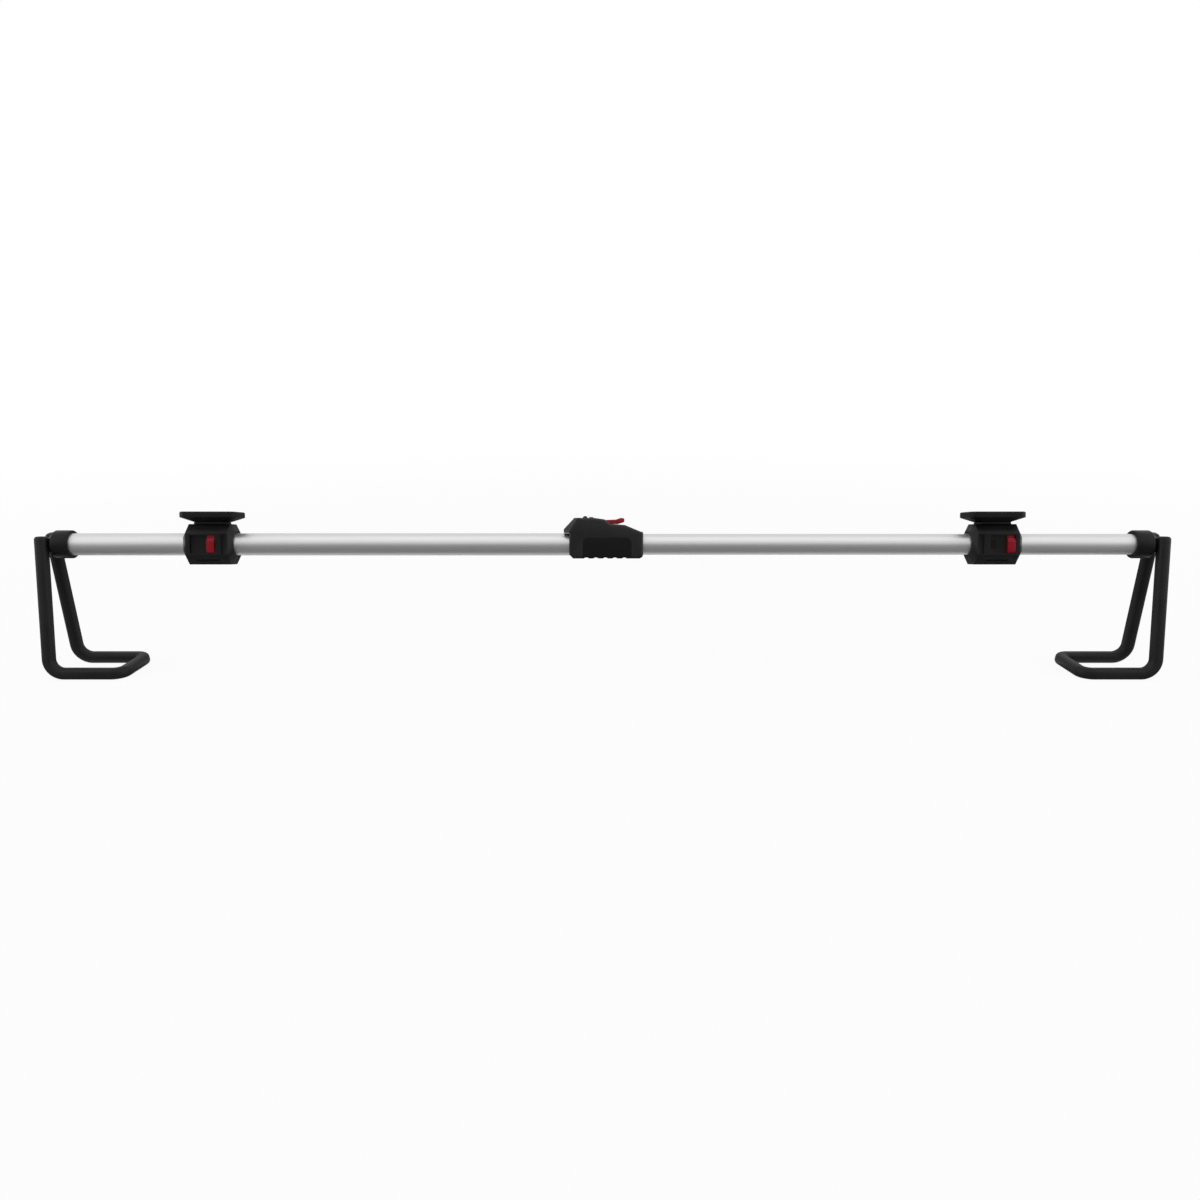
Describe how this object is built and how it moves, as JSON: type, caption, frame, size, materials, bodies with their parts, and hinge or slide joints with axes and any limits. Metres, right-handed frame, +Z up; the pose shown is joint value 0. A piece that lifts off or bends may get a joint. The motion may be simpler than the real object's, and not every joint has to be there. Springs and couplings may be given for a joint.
{
  "type": "telescopic under-bonnet lamp bar",
  "caption": "Telescopic aluminium bar with rubber loop hooks, sliding lamp plates that lock on the tube and a lever lock in the middle",
  "frame": {"origin": "under the middle of the bar, level with the underside of the hook arms", "axes": "X along the bar with the sliding inner tube at +X, -Y toward the viewer, Z up"},
  "size_m": [1.2862, 0.0772, 0.1916],
  "materials": {
    "tube_aluminium": "satin anodised",
    "black_abs": "fine moulded grain",
    "black_nylon": "moulded",
    "grip_rubber": "matt",
    "hook_rubber": "matt, soft",
    "red_abs": "semi-gloss",
    "zinc_steel": "zinc plated",
    "black_steel": "black powder coat"
  },
  "bodies": {
    "bar": {"outer_tube": "tube_aluminium", "housing_front": "black_abs", "housing_rear": "black_abs", "housing_grip": "grip_rubber", "housing_screws": "zinc_steel", "guide_bush": "black_nylon", "lever_pin": "zinc_steel", "left_end_plug": "black_nylon", "left_end_collar": "black_nylon", "left_hook_yoke": "zinc_steel", "left_hook_core": "zinc_steel", "left_hook_sleeve": "hook_rubber", "left_hook_bolt": "zinc_steel"},
    "extension": {"inner_tube": "tube_aluminium", "inner_glide": "black_nylon", "right_end_plug": "black_nylon", "right_end_collar": "black_nylon", "right_hook_yoke": "zinc_steel", "right_hook_core": "zinc_steel", "right_hook_sleeve": "hook_rubber", "right_hook_bolt": "zinc_steel"},
    "lever": {"lock_lever": "red_abs"},
    "shoe": {"brake_shoe": "black_nylon"},
    "left_liner": {"left_mount_liner": "black_nylon"},
    "left_mount": {"left_mount_front": "black_abs", "left_mount_rear": "black_abs", "left_mount_screws": "zinc_steel", "left_lock_pad": "grip_rubber", "left_lamp_plate": "black_abs", "left_plate_screws": "zinc_steel", "left_plate_steel": "black_steel"},
    "left_slider": {"left_lock_slider": "red_abs"},
    "right_liner": {"right_mount_liner": "black_nylon"},
    "right_mount": {"right_mount_front": "black_abs", "right_mount_rear": "black_abs", "right_mount_screws": "zinc_steel", "right_lock_pad": "grip_rubber", "right_lamp_plate": "black_abs", "right_plate_screws": "zinc_steel", "right_plate_steel": "black_steel"},
    "right_slider": {"right_lock_slider": "red_abs"}
  },
  "joints": [
    {"name": "telescope", "type": "slide", "parent": "bar", "child": "extension", "axis": [1, 0, 0], "range_m": [0, 0.45]},
    {"name": "lever_turn", "type": "hinge", "parent": "bar", "child": "lever", "pos_m": [0.001, 0.00392, 0.17309], "axis": [0, -0.9833, 0.1822], "range_deg": [0, 65]},
    {"name": "shoe_lift", "type": "slide", "parent": "bar", "child": "shoe", "axis": [0, 0.1822, 0.9833], "range_m": [0, 0.0004]},
    {"name": "left_mount_slide", "type": "slide", "parent": "bar", "child": "left_liner", "axis": [1, 0, 0], "range_m": [-0.12, 0.36]},
    {"name": "left_mount_turn", "type": "hinge", "parent": "left_liner", "child": "left_mount", "pos_m": [-0.4465, 0, 0.15195], "axis": [1, 0, 0], "continuous": true},
    {"name": "left_slider_travel", "type": "slide", "parent": "left_mount", "child": "left_slider", "axis": [1, 0, 0], "range_m": [-0.0185, 0]},
    {"name": "right_mount_slide", "type": "slide", "parent": "extension", "child": "right_liner", "axis": [1, 0, 0], "range_m": [-0.36, 0.12]},
    {"name": "right_mount_turn", "type": "hinge", "parent": "right_liner", "child": "right_mount", "pos_m": [0.4465, 0, 0.15195], "axis": [1, 0, 0], "continuous": true},
    {"name": "right_slider_travel", "type": "slide", "parent": "right_mount", "child": "right_slider", "axis": [1, 0, 0], "range_m": [-0.0185, 0]}
  ],
  "couplings": [
    {"joint": "shoe_lift", "follows": "lever_turn", "m_per_rad": 0.00035259}
  ]
}
